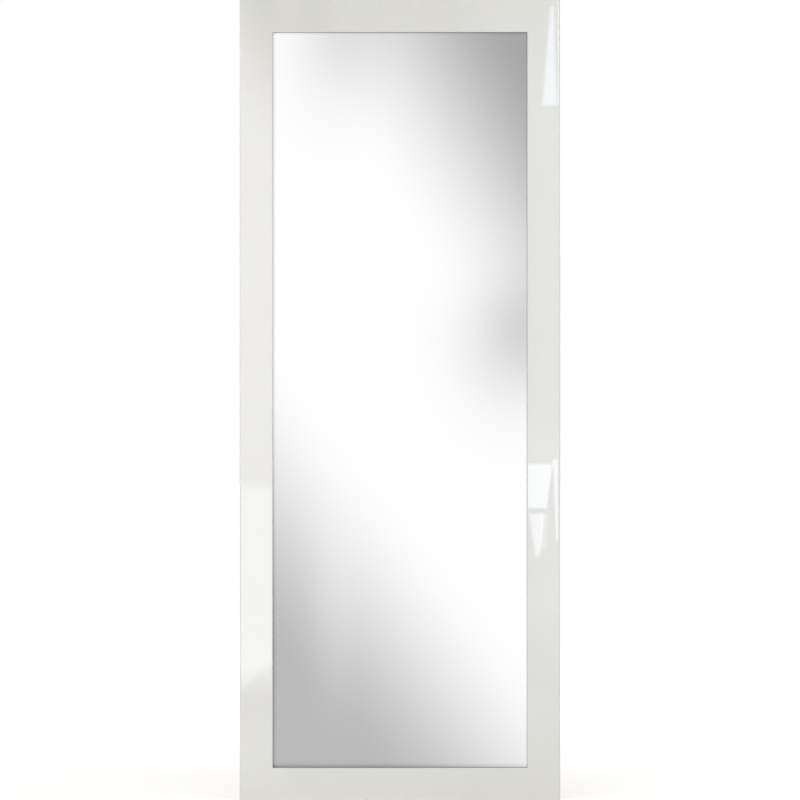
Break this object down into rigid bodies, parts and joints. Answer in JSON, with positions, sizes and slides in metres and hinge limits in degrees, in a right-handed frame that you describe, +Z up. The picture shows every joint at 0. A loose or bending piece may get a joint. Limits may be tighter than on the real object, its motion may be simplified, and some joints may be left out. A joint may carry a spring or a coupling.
{
  "type": "leaning floor mirror",
  "caption": "Tall rectangular floor mirror to lean on a wall: flat gloss white mitred frame, silvered glass, board back held by turn buttons, rubber pads and hanging rings.",
  "frame": {"origin": "on the floor, under the middle of the whole mirror, hardware included", "axes": "+Z up, +X along the bottom rail, and the glass faces -Y"},
  "size_m": [0.64, 0.038, 1.603],
  "materials": {
    "gloss_white_foil": "gloss",
    "silvered_glass": "polished",
    "zinc_plated_steel": "satin",
    "hardboard": "matte",
    "corrugated_card": "matte",
    "foam_tape": "matte",
    "vinyl_film": "satin",
    "packer_plastic": "matte",
    "black_rubber": "matte"
  },
  "bodies": {
    "frame": {"rail_left": "gloss_white_foil", "rail_right": "gloss_white_foil", "rail_top": "gloss_white_foil", "rail_bottom": "gloss_white_foil", "mirror_glass": "silvered_glass", "corner_v_nails": "zinc_plated_steel", "corner_braces": "zinc_plated_steel", "brace_screws": "zinc_plated_steel", "turn_button_screws": "zinc_plated_steel", "hanger_screws": "zinc_plated_steel", "bumper_screws": "zinc_plated_steel", "hanger_strap_left": "zinc_plated_steel", "hanger_strap_right": "zinc_plated_steel", "backing_board": "hardboard", "corrugated_card_pad": "corrugated_card", "glazing_tape": "foam_tape", "safety_film": "vinyl_film", "setting_blocks": "packer_plastic", "edge_spacers": "packer_plastic", "wall_bumper_bottom_left": "black_rubber", "wall_bumper_bottom_right": "black_rubber", "wall_bumper_top_left": "black_rubber", "wall_bumper_top_right": "black_rubber", "floor_pad_left": "black_rubber", "floor_pad_right": "black_rubber"},
    "hanger_ring_left": {"hanger_ring_left": "zinc_plated_steel"},
    "hanger_ring_right": {"hanger_ring_right": "zinc_plated_steel"},
    "turn_button_bottom_1": {"turn_button_bottom_1": "zinc_plated_steel"},
    "turn_button_bottom_2": {"turn_button_bottom_2": "zinc_plated_steel"},
    "turn_button_left_1": {"turn_button_left_1": "zinc_plated_steel"},
    "turn_button_left_2": {"turn_button_left_2": "zinc_plated_steel"},
    "turn_button_left_3": {"turn_button_left_3": "zinc_plated_steel"},
    "turn_button_left_4": {"turn_button_left_4": "zinc_plated_steel"},
    "turn_button_right_1": {"turn_button_right_1": "zinc_plated_steel"},
    "turn_button_right_2": {"turn_button_right_2": "zinc_plated_steel"},
    "turn_button_right_3": {"turn_button_right_3": "zinc_plated_steel"},
    "turn_button_right_4": {"turn_button_right_4": "zinc_plated_steel"},
    "turn_button_top_1": {"turn_button_top_1": "zinc_plated_steel"},
    "turn_button_top_2": {"turn_button_top_2": "zinc_plated_steel"}
  },
  "joints": [
    {"name": "turn_button_bottom_1_turn", "type": "hinge", "parent": "frame", "child": "turn_button_bottom_1", "pos_m": [-0.16, 0.011, 0.047], "axis": [0, 1, 0], "continuous": true},
    {"name": "turn_button_bottom_2_turn", "type": "hinge", "parent": "frame", "child": "turn_button_bottom_2", "pos_m": [0.16, 0.011, 0.047], "axis": [0, 1, 0], "continuous": true},
    {"name": "turn_button_left_1_turn", "type": "hinge", "parent": "frame", "child": "turn_button_left_1", "pos_m": [-0.276, 0.011, 0.203], "axis": [0, 1, 0], "continuous": true},
    {"name": "turn_button_left_2_turn", "type": "hinge", "parent": "frame", "child": "turn_button_left_2", "pos_m": [-0.276, 0.011, 0.603], "axis": [0, 1, 0], "continuous": true},
    {"name": "turn_button_left_3_turn", "type": "hinge", "parent": "frame", "child": "turn_button_left_3", "pos_m": [-0.276, 0.011, 1.003], "axis": [0, 1, 0], "continuous": true},
    {"name": "turn_button_left_4_turn", "type": "hinge", "parent": "frame", "child": "turn_button_left_4", "pos_m": [-0.276, 0.011, 1.403], "axis": [0, 1, 0], "continuous": true},
    {"name": "turn_button_right_1_turn", "type": "hinge", "parent": "frame", "child": "turn_button_right_1", "pos_m": [0.276, 0.011, 0.203], "axis": [0, 1, 0], "continuous": true},
    {"name": "turn_button_right_2_turn", "type": "hinge", "parent": "frame", "child": "turn_button_right_2", "pos_m": [0.276, 0.011, 0.603], "axis": [0, 1, 0], "continuous": true},
    {"name": "turn_button_right_3_turn", "type": "hinge", "parent": "frame", "child": "turn_button_right_3", "pos_m": [0.276, 0.011, 1.003], "axis": [0, 1, 0], "continuous": true},
    {"name": "turn_button_right_4_turn", "type": "hinge", "parent": "frame", "child": "turn_button_right_4", "pos_m": [0.276, 0.011, 1.403], "axis": [0, 1, 0], "continuous": true},
    {"name": "turn_button_top_1_turn", "type": "hinge", "parent": "frame", "child": "turn_button_top_1", "pos_m": [-0.16, 0.011, 1.559], "axis": [0, 1, 0], "continuous": true},
    {"name": "turn_button_top_2_turn", "type": "hinge", "parent": "frame", "child": "turn_button_top_2", "pos_m": [0.16, 0.011, 1.559], "axis": [0, 1, 0], "continuous": true},
    {"name": "hanger_ring_left_swing", "type": "hinge", "parent": "frame", "child": "hanger_ring_left", "pos_m": [-0.292, 0.014, 1.203], "axis": [1, 0, 0], "range_deg": [0, 180]},
    {"name": "hanger_ring_right_swing", "type": "hinge", "parent": "frame", "child": "hanger_ring_right", "pos_m": [0.292, 0.014, 1.203], "axis": [1, 0, 0], "range_deg": [0, 180]}
  ]
}
